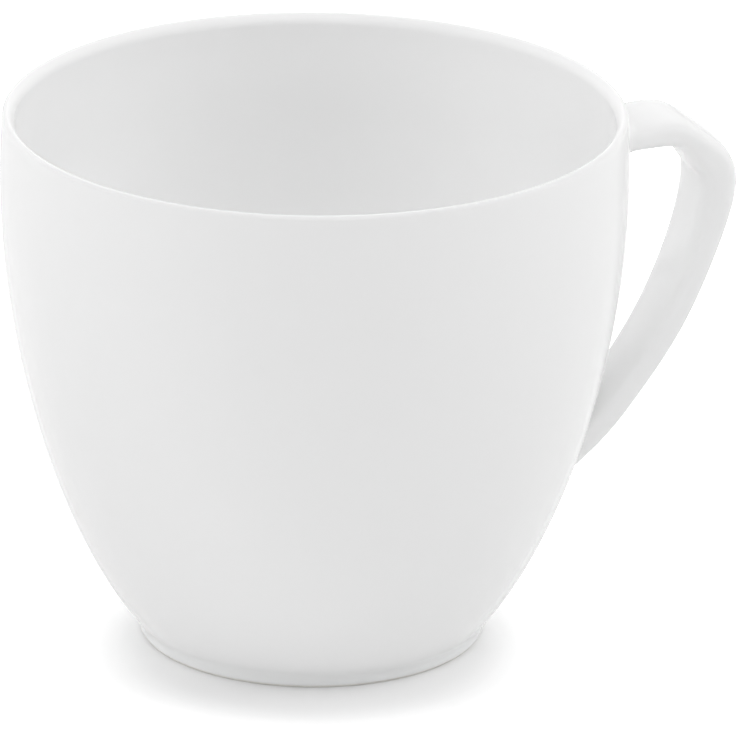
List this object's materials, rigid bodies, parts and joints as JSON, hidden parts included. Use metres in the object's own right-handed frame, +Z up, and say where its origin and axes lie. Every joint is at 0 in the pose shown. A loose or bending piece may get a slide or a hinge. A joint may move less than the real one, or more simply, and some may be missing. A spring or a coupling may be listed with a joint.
{
  "type": "coffee cup",
  "caption": "Round porcelain coffee cup with a looped strap handle, a foot ring and a glossy white glaze.",
  "frame": {"origin": "on the cup's axis, in the plane that the foot stands on", "axes": "+Z up along the cup's axis, towards the lip; +X from the axis towards the handle; the part is symmetric about the XZ plane"},
  "size_m": [0.1024, 0.0856, 0.0748],
  "materials": {
    "biscuit": "bare fired porcelain, smooth and matt",
    "slip": "fired slip, sponged smooth",
    "glaze": "clear glossy glaze over white porcelain"
  },
  "bodies": {
    "root": {"cup_body": "biscuit", "handle": "biscuit", "upper_handle_joint": "slip", "lower_handle_joint": "slip", "inner_glaze": "glaze", "outer_glaze": "glaze", "foot_recess_glaze": "glaze", "handle_glaze": "glaze"}
  },
  "joints": []
}
